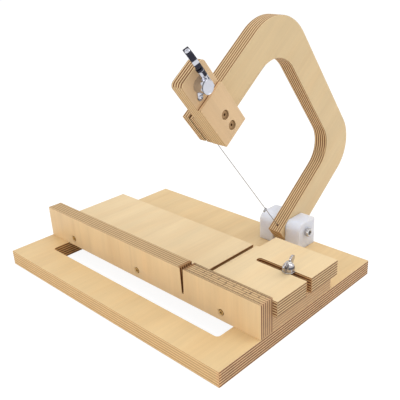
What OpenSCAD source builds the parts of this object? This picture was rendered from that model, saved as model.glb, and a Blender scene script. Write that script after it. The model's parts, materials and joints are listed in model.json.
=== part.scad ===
// Soap cutter: a plywood bed with a fence and a sliding stop plate, and a bow-shaped arm that
// swings a taut wire down through a loaf of soap.
// Lengths are millimetres. X runs along the fence, Y from front to back and Z up.
// The origin is the centre of the base board's underside.

/* [Base board] */
// length of the base board along the fence
base_w = 340; // [300:1:400]
// depth of the base board, front to back
base_d = 248; // [235:1:300]
// thickness of the base board
base_t = 17.5; // [15:0.5:20]
// wood left at each end of the window
window_margin = 34; // [20:1:60]
// wood left in front of the window
window_front = 35; // [25:1:40]
// depth of the window, front to back
window_d = 48; // [30:1:60]
// corner radius of the window, left by the router bit
window_r = 4; // [2:0.5:8]

/* [Upper boards] */
// thickness of the fence, platform, stop plate and arm plywood
board_t = 17.5; // [15:0.5:19]
// distance from the front edge of the base to the front face of the fence
fence_setback = 56.5; // [52:0.5:64]
// height of the fence above the base board
fence_h = 38; // [34:0.5:50]
// distance from the right end of the fence to the middle of the wire gap
kerf_from_right = 102.5; // [80:0.5:130]
// width of the wire gap at the fence's top and between the platforms
kerf_w = 4.5; // [3:0.1:6]
// width of the wire gap at its floor in the fence
kerf_floor_w = 2.4; // [1.4:0.1:4.4]
// height of the kerf floor above the base board
kerf_floor = 8.8; // [6:0.1:9.3]
// depth of the platforms behind the fence
platform_d = 96.5; // [80:0.5:100]

/* [Stop plate] */
// length of the stop plate along the fence
stop_w = 80; // [60:1:90]
// depth of the stop plate, front to back
stop_d = 100; // [80:1:104]
// distance from the wire gap to the stop plate's near end, the thickness of the slice
slice_t = 27.5; // [26:0.5:40]
// width of the slot
slot_w = 7; // [6.6:0.1:8]
// length of the slot, from its round end to the open right end
slot_len = 65; // [50:1:75]
// distance from the right end of the base board to the clamp bolt
clamp_inset = 20; // [14:1:30]
// gap that lets the stop plate slide along the fence and the platform
slide_gap = 0.1; // [0.05:0.05:0.3]

/* [Hinge] */
// width of each hinge block along the hinge bolt
block_w = 20; // [16:0.5:26]
// depth of each hinge block, front to back
block_d = 31.5; // [28:0.5:36]
// height of each hinge block
block_h = 33.5; // [31:0.5:40]
// radius of the front top edge of a hinge block
block_r = 10; // [4:0.5:11]
// distance from the blocks to the rear edge of the base board
block_inset = 2; // [1:0.5:5]
// gap between the arm and each hinge block
block_gap = 0.4; // [0.2:0.1:0.8]
// height of the hinge axis above the base board
hinge_h = 20; // [20:0.25:21]
// diameter of the hinge bolt
hinge_bolt_d = 6; // [5:0.5:8]
// angle of the arm's limbs above the level when it rests open
open_angle = 37.5; // [35:0.5:45]

/* [Arm] */
// length of the foot limb ahead of the hinge axis
foot_end = 18.5; // [17:0.1:19]
// distance from the hinge axis to the inner edge of the foot limb
foot_inner = 16.5; // [15:0.5:22]
// distance from the hinge axis to the outer edge of the foot limb
foot_outer = 19; // [16:0.1:19.2]
// distance from the hinge axis to the inner edge of the spine
spine_inner = 112; // [100:1:130]
// width of the spine and the head limb
limb_w = 35; // [28:0.5:40]
// clear span between the foot limb and the head limb
bow_span = 172.5; // [160:0.5:174]
// length of the head limb ahead of the hinge axis
head_tip = 18.8; // [14:0.1:19]
// outer radius of the bend beside the foot
bend_low_r = 43.5; // [36:0.5:48]
// outer radius of the bend beside the head
bend_high_r = 55; // [44:0.5:60]
// inner radius of the bend beside the foot
bight_low_r = 32; // [20:0.5:38]
// inner radius of the bend beside the head
bight_high_r = 37; // [22:0.5:42]
// width of the saw slot that holds the wire in the head limb
saw_slot_w = 2; // [1.5:0.1:3]

/* [Head board] */
// thickness of the head board
head_t = 18; // [16:0.5:20]
// width of the head board along the limb
head_w = 34.5; // [32:0.5:40]
// length of the head board across the limb
head_len = 81.5; // [79:0.5:90]
// length of the head board's thick part
head_thick_len = 52; // [46:0.5:53]
// depth of the step down to the tuner's seat
head_step = 4; // [2:0.5:6]
// radius of the head board's corners beside the tuner
head_corner_r = 5; // [2:0.5:9]
// spacing of the two head bolts
head_bolt_pitch = 14.8; // [13:0.1:16]
// diameter of a head bolt
head_bolt_d = 5; // [4:0.5:6]

/* [Wire and tuner] */
// diameter of the cutting wire
wire_d = 0.8; // [0.5:0.1:1.2]
// distance of the wire ahead of the hinge axis at the foot
wire_foot = 10.4; // [8:0.1:11]
// distance of the wire ahead of the hinge axis at the head
wire_head = 10.4; // [9:0.1:12]
// height of the barrel above the foot limb
barrel_height = 36; // [20:1:60]
// distance from the head limb's lower edge to the string post
post_rise = 67; // [65:0.5:68.5]
// distance of the string post ahead of the hinge axis, along the limb
post_ahead = 3.3; // [1.5:0.1:5]
// diameter of the string post
post_d = 6; // [5:0.1:6.4]
// diameter of the tuner's drum
drum_d = 13; // [12.6:0.1:15]
// height of the tuner's drum
drum_h = 10.5; // [10:0.1:12]
// number of teeth on the string post's gear
gear_teeth = 14; // [12:1:16]
// diameter of the gear at its pitch line
gear_pitch_d = 7.6; // [7.2:0.1:7.8]
// outer diameter of the worm
worm_d = 4.8; // [4.4:0.1:4.9]
// length of the button along the worm shaft
button_len = 15.5; // [10:0.5:18]
// width of the button
button_w = 18; // [14:0.5:20]
// thickness of the button
button_t = 5.6; // [5.2:0.1:8]
// turn of the button about the worm shaft
button_turn = 29; // [0:1:90]

/* [Hidden] */
$fn = 48;
fit = 0.06;
seat = 0.02;
foot_gap = 0.3;
front_y = -base_d / 2;
right_x = base_w / 2;
kerf_x = right_x - kerf_from_right;
fence_y = front_y + fence_setback;
platform_y = fence_y + board_t;
deck_z = base_t + board_t;

// window, from the base board's edges
window_y = front_y + window_front;
window_w = base_w - 2 * window_margin;

// platforms on each side of the wire gap
left_platform_w = base_w - kerf_from_right - kerf_w / 2;
right_platform_w = kerf_from_right - kerf_w / 2;

// stop plate and its clamp
stop_x = kerf_x + slice_t;
stop_y = platform_y + slide_gap;
stop_z = deck_z + slide_gap;
stop_top = stop_z + board_t;
slot_y = stop_y + stop_d / 2;
clamp_x = right_x - clamp_inset;
clamp_bolt_d = 6;
clamp_head_d = 12;
clamp_head_h = 4;
clamp_pocket_h = 6;
clamp_pocket_d = 13;
clamp_bevel = 0.6;
clamp_bolt_end = 1;
clamp_washer_t = 1.2;
clamp_washer_d = 13;
wing_hub_d = 10.5;
wing_hub_h = 8.5;
wing_span = 27;
wing_rise = 18;
wing_t = 2.4;
wing_lobe_r = 5;
wing_turn = 14;

// hinge
hinge_y = base_d / 2 - block_inset - block_d / 2;
hinge_z = base_t + hinge_h;
block_x = board_t / 2 + block_gap;
hinge_head_d = 10;
hinge_head_h = 4.5;
hinge_nut_af = 10;
hinge_nut_h = 5;
hinge_socket_af = 5;
hinge_end = 2;

// wood screws, by their place
screw_d = 4;
screw_head_d = 8;
screw_head_h = 2.6;
screw_sink = 0.4;
screw_recess_d = 2.4;
screw_tip_d = 0.6;
screw_spare = 0.5;
fence_screw_len = 40;
fence_screw_z = base_t + board_t / 2;
fence_screw_left = 47;
fence_screw_mid = 165;
fence_screw_right = 50;
fence_screw_x = [-right_x + fence_screw_left, -right_x + fence_screw_mid, right_x - fence_screw_right];
bed_screw_len = 26;
bed_screw_inset = 22;
block_screw_pitch = 18;
block_screw_len = 28;

// arm, in its own frame: local Y runs along the limbs, local Z from the foot to the head
head_under = foot_inner + bow_span;
head_top = head_under + limb_w;
spine_outer = spine_inner + limb_w;
foot_flat = hinge_h - foot_gap;

// head board
head_mid = head_under + limb_w / 2;
head_x = board_t / 2;
tuner_x = head_x + head_t - head_step;
head_bolt_shift = 1.25;
head_bolt_y = head_w / 2 - head_tip + head_bolt_shift;
head_bolt_head_d = 8.5;
head_bolt_head_h = 5;
head_bore_depth = 6;
head_bore_d = 9;
head_washer_t = 1;
head_washer_d = 10;
head_nut_af = 8;
head_nut_h = 4;
head_bolt_end = 1.5;
head_socket_af = 4;

// wire
wire_r = wire_d / 2;
anchor_drop = 11;
anchor_z = foot_inner - anchor_drop;
anchor_d = 3;
anchor_hole_room = 1.2;
anchor_hole_d = wire_d + anchor_hole_room;
saw_slot_end = -wire_head + wire_r;
barrel_d = 2.6;
barrel_len = 5;
barrel_room = 0.2;
wire_turns = 1.5;
wind_steps = 16;
wind_space = 0.5;
wind_pitch = wire_d + wind_space;
wind_start = 180;
wire_sides = 8;

// tuner
post_y = -post_ahead;
post_z = head_under + post_rise;
drum_r = drum_d / 2;
floor_t = 1.2;
gear_t = 3;
worm_x = 6.5;
worm_depth = 0.95;
gear_pitch_r = gear_pitch_d / 2;
tooth_rise = 0.3;
tooth_sink = 0.7;
tooth_mesh = 0.5;
gear_tip_r = gear_pitch_r + tooth_rise;
gear_root_r = gear_pitch_r - tooth_sink;
worm_pitch = PI * gear_pitch_d / gear_teeth;
worm_y = gear_pitch_r + worm_d / 2 - tooth_mesh;
worm_len = 8.6;
journal_room = 0.3;
journal_d = worm_d + journal_room;
sleeve_wall = 0.85;
sleeve_r = journal_d / 2 + sleeve_wall;
sleeve_floor = 0.8;
sleeve_low = -drum_r;
sleeve_high = 13.2;
chamber_room = 0.5;
chamber_r = gear_tip_r + chamber_room;
stub_d = 4;
cover_t = 1.4;
cover_bevel = 0.5;
cover_lap = 0.2;
cover_plug = 0.8;
tab_y = -5.9;
tab_z = -8.6;
tab_r = 3.1;
tab_t = 1.2;
tab_screw_len = 10;
tab_screw_d = 2.2;
tab_screw_head_d = 4.6;
tab_screw_head_h = 1.6;
tab_screw_crown_d = 2.6;
tab_socket_af = 1.4;
bushing_d = 10;
bushing_flange_d = 13;
bushing_flange_t = 1.2;
bushing_len = 8;
bushing_bore_len = 7.7;
post_end = 5;
post_bore_d = post_d + 1;
waist_depth = 0.6;
waist_d = post_d - 2 * waist_depth;
waist_len = 4.4;
waist_start = 1;
wind_slack = 0.3;
wind_r = waist_d / 2 + wire_r + wind_slack;
post_hole_d = wire_d + 0.6;
collar_t = 2.7;
neck_len = 4;
neck_d = 4.6;
collar_gap = 0.3;
collar_z = sleeve_high + collar_gap;
button_z = collar_z + collar_t + neck_len;
tang_d = neck_d - 1.4;
tang_len = button_len - 1;
button_end_r = 4;
button_screw_d = 5;
button_screw_h = 1.4;
button_screw_shank_d = 2.1;
button_socket_af = 1.4;

wood = [0.88, 0.76, 0.58];
milk = [0.93, 0.93, 0.95];
chrome = [0.78, 0.79, 0.82];
steel = [0.64, 0.65, 0.67];

// frames

// the arm's own frame, with its origin on the hinge axis in the middle of the arm
module in_arm() {
    translate([kerf_x, hinge_y, hinge_z])
        rotate([open_angle, 0, 0])
            children();
}

// the tuner's frame, on its seat at the string post's axis
module in_tuner() {
    in_arm()
        translate([tuner_x, post_y, post_z])
            children();
}

// an outline drawn in the YZ plane, given thickness along X
module plate_yz(x0, t) {
    translate([x0, 0, 0])
        rotate([90, 0, 90])
            linear_extrude(t)
                children();
}

// a round bar or bore along X
module bar_x(x0, x1, d) {
    translate([x0, 0, 0])
        rotate([0, 90, 0])
            cylinder(h = x1 - x0, d = d);
}

// outlines

// the waste outside a round corner, for a corner at the origin whose inside is at -X and +Y
module corner_waste(r) {
    difference() {
        translate([-r, -1])
            square([r + 1, r + 1]);
        translate([-r, r])
            circle(r, $fn = 96);
    }
}

// a rectangle from y0 to y1 and z0 to z1, round where it meets y1
module bay_outline(y0, y1, z0, z1, r_low, r_high) {
    difference() {
        translate([y0, z0])
            square([y1 - y0, z1 - z0]);
        translate([y1, z0])
            corner_waste(r_low);
        translate([y1, z1])
            mirror([0, 1])
                corner_waste(r_high);
    }
}

// a rectangle with all four corners round, from its low corner
module round_rect(w, d, r) {
    translate([r, 0])
        square([w - 2 * r, d]);
    translate([0, r])
        square([w, d - 2 * r]);
    for (x = [r, w - r], y = [r, d - r])
        translate([x, y])
            circle(r);
}

// what the foot loses: it stands flat on the base when open, and clears it as it swings closed
module foot_waste() {
    rotate(-open_angle) {
        translate([0, -foot_flat - 40])
            square([60, 40]);
        difference() {
            translate([-foot_flat, -foot_flat - 40])
                square([foot_flat, 40 + foot_flat * 0.25]);
            circle(foot_flat, $fn = 96);
        }
    }
}

module arm_outline() {
    difference() {
        bay_outline(-foot_end, spine_outer, -foot_outer, head_top, bend_low_r, bend_high_r);
        bay_outline(-foot_end - 1, spine_inner, foot_inner, head_under, bight_low_r, bight_high_r);
        translate([-foot_end - 1, head_under - 1])
            square([foot_end + 1 - head_tip, limb_w + 2]);
        foot_waste();
    }
}

// fasteners

// a countersunk wood screw along +Z, with its head's face at the origin
module wood_screw(len, d = screw_d, head_d = screw_head_d) {
    difference() {
        union() {
            cylinder(h = screw_head_h, d1 = head_d, d2 = d);
            cylinder(h = len - d, d = d);
            translate([0, 0, len - d])
                cylinder(h = d, d1 = d, d2 = screw_tip_d);
        }
        translate([0, 0, -1])
            cylinder(h = 1 + screw_head_h * 0.6, d = screw_recess_d, $fn = 6);
    }
}

// the hole that a wood screw fills, open behind its head
module wood_screw_hole(len, d = screw_d, head_d = screw_head_d) {
    cylinder(h = screw_head_h, d1 = head_d + 2 * seat, d2 = d + 2 * seat);
    cylinder(h = len + screw_spare, d = d + 2 * seat);
    translate([0, 0, -screw_sink - 1])
        cylinder(h = screw_sink + 1.001, d = head_d + 2 * seat);
}

// a hexagon prism along +X
module hex_x(x0, x1, af) {
    translate([x0, 0, 0])
        rotate([0, 90, 0])
            cylinder(h = x1 - x0, d = af / cos(30), $fn = 6);
}

// a socket bolt along -X whose head stands on x = 0
module socket_bolt(len, d, head_d, head_h, socket_af) {
    difference() {
        union() {
            bar_x(-len, 0.01, d);
            bar_x(0, head_h, head_d);
        }
        hex_x(head_h * 0.4, head_h + 1, socket_af);
    }
}

// places of the screws

module at_fence_screws() {
    for (x = fence_screw_x)
        translate([x, fence_y + screw_sink, fence_screw_z])
            rotate([-90, 0, 0])
                children();
}

module at_bed_screws() {
    mid_y = platform_y + platform_d / 2;
    reach = platform_d / 2 - bed_screw_inset;
    left_x = [-right_x + bed_screw_inset, kerf_x - bed_screw_inset];
    right_side_x = kerf_x + bed_screw_inset;
    for (x = left_x, side = [-1, 1])
        translate([x, mid_y + side * reach, screw_sink])
            children();
    for (side = [-1, 1])
        translate([right_side_x, mid_y + side * reach, screw_sink])
            children();
    translate([right_x - bed_screw_inset, mid_y + reach, screw_sink])
        children();
}

module at_block_screws() {
    for (x = [-1, 1] * (block_x + block_w / 2), y = [-1, 1] * block_screw_pitch / 2)
        translate([kerf_x + x, hinge_y + y, screw_sink])
            children();
}

module at_head_bolts() {
    for (z = [-1, 1] * head_bolt_pitch / 2)
        translate([0, head_bolt_y, head_mid + z])
            children();
}

// bed

module base_board() {
    color(wood)
        difference() {
            translate([-right_x, front_y, 0])
                cube([base_w, base_d, base_t]);
            translate([-right_x + window_margin, window_y, -1])
                linear_extrude(base_t + 2)
                    round_rect(window_w, window_d, window_r);
            at_bed_screws()
                wood_screw_hole(bed_screw_len);
            at_block_screws()
                wood_screw_hole(block_screw_len);
            translate([clamp_x, slot_y, -1])
                cylinder(h = base_t + 2, d = clamp_bolt_d + 2 * seat);
            translate([clamp_x, slot_y, -1])
                cylinder(h = clamp_pocket_h + 1, d = clamp_pocket_d);
        }
}

module platform_board(x0, w) {
    difference() {
        translate([x0, platform_y, base_t])
            cube([w, platform_d, board_t]);
        at_bed_screws()
            wood_screw_hole(bed_screw_len);
        at_fence_screws()
            wood_screw_hole(fence_screw_len);
    }
}

module left_platform() {
    color(wood)
        platform_board(-right_x, left_platform_w);
}

module right_platform() {
    color(wood)
        difference() {
            platform_board(kerf_x + kerf_w / 2, right_platform_w);
            translate([clamp_x, slot_y, base_t - 1])
                cylinder(h = board_t + 2, d = clamp_bolt_d + 2 * seat);
        }
}

// the wire gap in the fence narrows towards its floor, which guides the wire
module kerf_outline() {
    rise = fence_h - kerf_floor;
    polygon([
        [-kerf_floor_w / 2, 0],
        [kerf_floor_w / 2, 0],
        [kerf_w / 2, rise],
        [kerf_w / 2, rise + 1],
        [-kerf_w / 2, rise + 1],
        [-kerf_w / 2, rise],
    ]);
}

module fence() {
    color(wood)
        difference() {
            translate([-right_x, fence_y, base_t])
                cube([base_w, board_t, fence_h]);
            translate([kerf_x, fence_y + board_t + 1, base_t + kerf_floor])
                rotate([90, 0, 0])
                    linear_extrude(board_t + 2)
                        kerf_outline();
            at_fence_screws()
                wood_screw_hole(fence_screw_len);
        }
}

module fence_screws() {
    color(steel)
        at_fence_screws()
            wood_screw(fence_screw_len);
}

module bed_screws() {
    color(steel)
        at_bed_screws()
            wood_screw(bed_screw_len);
}

// stop plate and its clamp

module stop_plate() {
    color(wood)
        difference() {
            translate([stop_x, stop_y, stop_z])
                cube([stop_w, stop_d, board_t]);
            translate([stop_x + stop_w - slot_len + slot_w / 2, slot_y, stop_z - 1]) {
                cylinder(h = board_t + 2, d = slot_w);
                translate([0, -slot_w / 2, 0])
                    cube([slot_len, slot_w, board_t + 2]);
            }
        }
}

module clamp_bolt() {
    bolt_top = stop_top + slide_gap + clamp_washer_t + wing_hub_h + clamp_bolt_end;
    head_z = clamp_pocket_h - clamp_head_h;
    color(steel)
        translate([clamp_x, slot_y, head_z]) {
            cylinder(h = clamp_head_h, d = clamp_head_d);
            cylinder(h = bolt_top - head_z - clamp_bevel, d = clamp_bolt_d);
            translate([0, 0, bolt_top - head_z - clamp_bevel])
                cylinder(h = clamp_bevel, d1 = clamp_bolt_d, d2 = clamp_bolt_d - 2 * clamp_bevel);
        }
}

module clamp_washer() {
    color(steel)
        translate([clamp_x, slot_y, stop_top + slide_gap])
            difference() {
                cylinder(h = clamp_washer_t, d = clamp_washer_d);
                translate([0, 0, -1])
                    cylinder(h = clamp_washer_t + 2, d = clamp_bolt_d + 2 * fit);
            }
}

// one wing's outline, from the hub's axis outwards along X
module wing_outline() {
    lobe_x = wing_span / 2 - wing_lobe_r;
    lobe_z = wing_rise - wing_lobe_r;
    translate([lobe_x, lobe_z])
        circle(wing_lobe_r);
    polygon([
        [0, 1.2],
        [wing_hub_d / 2, 0.8],
        [lobe_x + wing_lobe_r, lobe_z],
        [lobe_x - wing_lobe_r * 0.8, lobe_z + wing_lobe_r * 0.6],
        [0, wing_hub_h * 0.8],
    ]);
}

module wing_nut() {
    color(steel)
        translate([clamp_x, slot_y, stop_top + slide_gap + clamp_washer_t])
            rotate([0, 0, wing_turn])
                difference() {
                    union() {
                        cylinder(h = wing_hub_h, d1 = wing_hub_d, d2 = wing_hub_d - 2);
                        for (side = [0, 1])
                            rotate([0, 0, 90 + 180 * side])
                                rotate([90, 0, 0])
                                    translate([0, 0, -wing_t / 2])
                                        linear_extrude(wing_t)
                                            wing_outline();
                    }
                    translate([0, 0, -1])
                        cylinder(h = wing_hub_h + 20, d = clamp_bolt_d + 2 * fit);
                }
}

// hinge

module hinge_block(x0) {
    color(milk)
        difference() {
            translate([kerf_x, hinge_y - block_d / 2, base_t])
                plate_yz(x0, block_w)
                    difference() {
                        square([block_d, block_h]);
                        translate([0, block_h])
                            rotate(180)
                                corner_waste(block_r);
                    }
            translate([kerf_x, hinge_y, hinge_z])
                bar_x(x0 - 1, x0 + block_w + 1, hinge_bolt_d + 2 * seat);
            at_block_screws()
                wood_screw_hole(block_screw_len);
        }
}

module hinge_block_left() {
    hinge_block(-block_x - block_w);
}

module hinge_block_right() {
    hinge_block(block_x);
}

module block_screws() {
    color(steel)
        at_block_screws()
            wood_screw(block_screw_len);
}

module hinge_bolt() {
    len = 2 * (block_x + block_w) + hinge_nut_h + hinge_end;
    color(steel)
        translate([kerf_x + block_x + block_w, hinge_y, hinge_z])
            socket_bolt(len, hinge_bolt_d, hinge_head_d, hinge_head_h, hinge_socket_af);
}

module hinge_nut() {
    face = -block_x - block_w;
    color(steel)
        translate([kerf_x, hinge_y, hinge_z])
            difference() {
                hex_x(face - hinge_nut_h, face, hinge_nut_af);
                bar_x(face - hinge_nut_h - 1, face + 1, hinge_bolt_d + 2 * seat);
            }
}

// arm and head

module arm() {
    color(wood)
        in_arm()
            difference() {
                plate_yz(-board_t / 2, board_t)
                    arm_outline();
                bar_x(-board_t, board_t, hinge_bolt_d + 2 * fit);
                translate([-saw_slot_w / 2, -head_tip - 1, head_under - 1])
                    cube([saw_slot_w, head_tip + 1 + saw_slot_end, limb_w + 2]);
                at_head_bolts()
                    bar_x(-board_t, board_t, head_bolt_d + 2 * seat);
                translate([0, -wire_foot, anchor_z - anchor_hole_d])
                    cylinder(h = foot_inner - anchor_z + anchor_hole_d + 1, d = anchor_hole_d);
                translate([0, -wire_foot, anchor_z])
                    bar_x(-board_t, board_t, anchor_d + 2 * seat);
            }
}

module head_board() {
    color(wood)
        in_arm()
            difference() {
                plate_yz(head_x, head_t)
                    translate([-head_tip, head_under])
                        difference() {
                            square([head_w, head_len]);
                            translate([head_w, head_len])
                                mirror([0, 1])
                                    corner_waste(head_corner_r);
                            translate([0, head_len])
                                rotate(180)
                                    corner_waste(head_corner_r);
                        }
                translate([tuner_x, -head_tip - 1, head_under + head_thick_len])
                    cube([head_step + 1, head_w + 2, head_len]);
                at_head_bolts() {
                    bar_x(0, head_x + head_t + 1, head_bolt_d + 2 * seat);
                    bar_x(head_x + head_t - head_bore_depth, head_x + head_t + 1, head_bore_d);
                }
                translate([0, post_y, post_z]) {
                    bar_x(head_x - 1, tuner_x + 1, post_bore_d);
                    bar_x(head_x - 1, head_x + bushing_len, bushing_d + 2 * seat);
                }
                translate([tuner_x, post_y + tab_y, post_z + tab_z])
                    bar_x(-tab_screw_len, 1, tab_screw_d + 2 * seat);
            }
}

module head_bolts() {
    head_seat = head_x + head_t - head_bore_depth;
    len = head_seat + board_t / 2 + head_washer_t + head_nut_h + head_bolt_end;
    color(steel)
        in_arm()
            at_head_bolts()
                translate([head_seat, 0, 0])
                    socket_bolt(len, head_bolt_d, head_bolt_head_d, head_bolt_head_h, head_socket_af);
}

module head_washers() {
    face = -board_t / 2;
    color(steel)
        in_arm()
            at_head_bolts()
                difference() {
                    bar_x(face - head_washer_t, face, head_washer_d);
                    bar_x(face - head_washer_t - 1, face + 1, head_bolt_d + 2 * seat);
                }
}

module head_nuts() {
    face = -board_t / 2 - head_washer_t;
    color(steel)
        in_arm()
            at_head_bolts()
                difference() {
                    hex_x(face - head_nut_h, face, head_nut_af);
                    bar_x(face - head_nut_h - 1, face + 1, head_bolt_d + 2 * seat);
                }
}

// wire

module anchor_pin() {
    color(steel)
        in_arm()
            translate([0, -wire_foot, anchor_z])
                bar_x(-board_t / 2, board_t / 2, anchor_d);
}

// a round tube along a route, with one ring of points at each of the route's points
function unit(v) = v / norm(v);

function tube_ring(at, along, r, sides) =
    let (u = unit([1, 0, 0] - along[0] * along), v = cross(along, u))
    [for (i = [0:sides - 1]) at + r * (cos(360 * i / sides) * u + sin(360 * i / sides) * v)];

function route_direction(route, i) =
    let (last = len(route) - 1)
    unit(route[min(i + 1, last)] - route[max(i - 1, 0)]);

module tube(route, d, sides) {
    rings = [for (i = [0:len(route) - 1]) tube_ring(route[i], route_direction(route, i), d / 2, sides)];
    last = (len(route) - 1) * sides;
    points = [for (ring = rings) for (p = ring) p];
    walls = [
        for (i = [0:len(route) - 2], k = [0:sides - 1])
            let (a = i * sides + k, b = i * sides + (k + 1) % sides)
            each [[a, b, b + sides], [a, b + sides, a + sides]]
    ];
    ends = [
        for (k = [1:sides - 2])
            each [[0, k + 1, k], [last, last + k, last + k + 1]]
    ];
    polyhedron(points, concat(walls, ends));
}

// the least gap between two stretches of a tube that lie at least a quarter turn apart
function least_gap(route, d, apart) =
    let (last = len(route) - 1)
    min([for (i = [0:last]) for (j = [i + apart:1:last]) norm(route[i] - route[j])]) - d;

// from the anchor pin up to the saw slot's end and over the string post, then round its waist
wire_low = [0, -wire_foot, anchor_z + anchor_d / 2 + fit];
wire_bend = [0, -wire_head, head_top];
wind_route = [
    for (i = [0:wire_turns * wind_steps])
        let (turn = i / wind_steps, angle = wind_start - 360 * turn)
        [
            -wind_pitch * turn,
            post_y + wind_r * cos(angle),
            post_z + wind_r * sin(angle),
        ]
];
wire_route = concat([wire_low, wire_bend], wind_route);
echo(least_gap_in_winding = least_gap(wind_route, wire_d, wind_steps / 2));

module cutting_wire() {
    color(steel)
        in_arm()
            tube(wire_route, wire_d, wire_sides);
}

// where the barrel crosses the wire
module barrel_place() {
    share = (barrel_height + foot_inner - anchor_z) / (head_top - anchor_z);
    y = -wire_foot + (wire_foot - wire_head) * share;
    translate([0, y, foot_inner + barrel_height])
        children();
}

module wire_barrel() {
    color(steel)
        in_arm()
            barrel_place()
                rotate([90, 0, 0])
                    difference() {
                        translate([0, 0, -barrel_d / 2])
                            cylinder(h = barrel_len, d = barrel_d);
                        rotate([90, 0, 0])
                            translate([0, 0, -barrel_d])
                                cylinder(h = 2 * barrel_d, d = wire_d + barrel_room);
                    }
}

// tuner

module tuner_housing() {
    color(chrome)
        in_tuner()
            difference() {
                union() {
                    bar_x(0, drum_h, drum_d);
                    translate([worm_x, worm_y, sleeve_low])
                        cylinder(h = sleeve_high - sleeve_low, r = sleeve_r);
                    translate([0, 0, -sleeve_r])
                        cube([worm_x, worm_y + sleeve_r, drum_r + sleeve_r]);
                    plate_yz(0, tab_t)
                        hull() {
                            translate([tab_y, tab_z])
                                circle(tab_r);
                            circle(tab_r + 1);
                        }
                }
                bar_x(-1, drum_h + 1, post_d + 2 * fit);
                bar_x(floor_t, drum_h + 1, 2 * chamber_r);
                translate([worm_x, worm_y, sleeve_low + sleeve_floor])
                    cylinder(h = sleeve_high - sleeve_low, d = journal_d + 2 * fit);
                translate([0, tab_y, tab_z])
                    bar_x(-1, tab_t + 1, tab_screw_d + 2 * fit);
            }
}

module tuner_cover() {
    color(chrome)
        in_tuner()
            translate([drum_h, 0, 0])
                rotate([0, 90, 0]) {
                    cylinder(h = cover_t - cover_bevel, r = drum_r + cover_lap);
                    translate([0, 0, cover_t - cover_bevel])
                        cylinder(h = cover_bevel, r1 = drum_r + cover_lap, r2 = drum_r - cover_bevel);
                    translate([0, 0, -cover_plug])
                        cylinder(h = cover_plug + 0.01, r = chamber_r - seat);
                }
}

module tuner_screw() {
    color(chrome)
        in_tuner()
            translate([tab_t, tab_y, tab_z])
                difference() {
                    union() {
                        bar_x(1 - tab_t - tab_screw_len, 0.01, tab_screw_d);
                        rotate([0, 90, 0])
                            cylinder(h = tab_screw_head_h, d1 = tab_screw_head_d, d2 = tab_screw_crown_d);
                    }
                    hex_x(tab_screw_head_h / 2, tab_screw_head_h + 1, tab_socket_af / cos(30));
                }
}

module post_bushing() {
    color(chrome)
        in_arm()
            translate([head_x, post_y, post_z])
                difference() {
                    union() {
                        bar_x(-bushing_flange_t, 0, bushing_flange_d);
                        bar_x(-0.01, bushing_bore_len, bushing_d);
                    }
                    bar_x(-bushing_flange_t - 1, bushing_len + 1, post_d + 2 * fit);
                }
}

module string_post() {
    far = -(tuner_x + post_end);
    waist_high = waist_start - tuner_x;
    waist_low = waist_high - waist_len;
    gear_seat = worm_x - gear_t / 2;
    color(chrome)
        in_tuner()
            difference() {
                union() {
                    bar_x(far, waist_low, post_d);
                    bar_x(waist_low - 0.01, waist_high + 0.01, waist_d);
                    bar_x(waist_high, gear_seat, post_d);
                    bar_x(gear_seat - 0.01, drum_h - 1, stub_d);
                }
                translate([-tuner_x - wind_pitch * wire_turns, 0, -post_d])
                    cylinder(h = 2 * post_d, d = post_hole_d);
            }
}

// half a tooth's width at the gear's root, pitch line and tip
tooth_half = [0.5, 0.28, 0.12];

function polar(r, half, turn) =
    [r * cos(turn) - half * sin(turn), r * sin(turn) + half * cos(turn)];

// the gear's outline, with a tooth facing +Y's worm
module gear_outline() {
    step = 360 / gear_teeth;
    radii = [gear_root_r, gear_pitch_r, gear_tip_r];
    difference() {
        polygon([
            for (i = [0:gear_teeth - 1])
                each [
                    for (k = [0, 1, 2]) polar(radii[k], -tooth_half[k], i * step),
                    for (k = [2, 1, 0]) polar(radii[k], tooth_half[k], i * step),
                ]
        ]);
        circle(d = stub_d + 2 * seat);
    }
}

module post_gear() {
    color(steel)
        in_tuner()
            plate_yz(worm_x - gear_t / 2, gear_t)
                gear_outline();
}

// the worm's thread: an eccentric disc that turns as it climbs
module worm_thread() {
    turns = worm_len / worm_pitch;
    throw = worm_depth / 2;
    translate([0, 0, -worm_len / 2])
        rotate([0, 0, 180 * turns])
            linear_extrude(worm_len, twist = 360 * turns, slices = ceil(turns * 10), $fn = 13)
                translate([0, throw])
                    circle(worm_d / 2 - throw);
}

module worm_shaft() {
    color(chrome)
        in_tuner()
            translate([worm_x, worm_y, 0]) {
                worm_thread();
                translate([0, 0, worm_len / 2 - 0.2])
                    cylinder(h = collar_z - worm_len / 2 + 0.2, d = journal_d);
                translate([0, 0, collar_z])
                    cylinder(h = collar_t, r = sleeve_r);
                translate([0, 0, collar_z + collar_t])
                    cylinder(h = neck_len, d = neck_d);
                translate([0, 0, button_z - 0.01])
                    cylinder(h = tang_len, d = tang_d);
            }
}

module tuner_button() {
    color(chrome)
        in_tuner()
            translate([worm_x, worm_y, button_z])
                rotate([0, 0, -button_turn])
                    difference() {
                        rotate([90, 0, 0])
                            translate([-button_w / 2, 0, -button_t / 2])
                                linear_extrude(button_t)
                                    round_rect(button_w, button_len, button_end_r);
                        translate([0, 0, -1])
                            cylinder(h = tang_len + 1.05, d = tang_d + 2 * seat);
                        translate([0, 0, tang_len])
                            cylinder(h = 2, d = button_screw_shank_d + 2 * seat);
                    }
}

module button_screw() {
    color(chrome)
        in_tuner()
            translate([worm_x, worm_y, button_z + button_len])
                difference() {
                    union() {
                        cylinder(h = button_screw_h, d1 = button_screw_d, d2 = button_screw_d - 1);
                        translate([0, 0, -1])
                            cylinder(h = 1.01, d = button_screw_shank_d);
                    }
                    translate([0, 0, button_screw_h / 2])
                        cylinder(h = 2, d = button_socket_af / cos(30), $fn = 6);
                }
}

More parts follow.
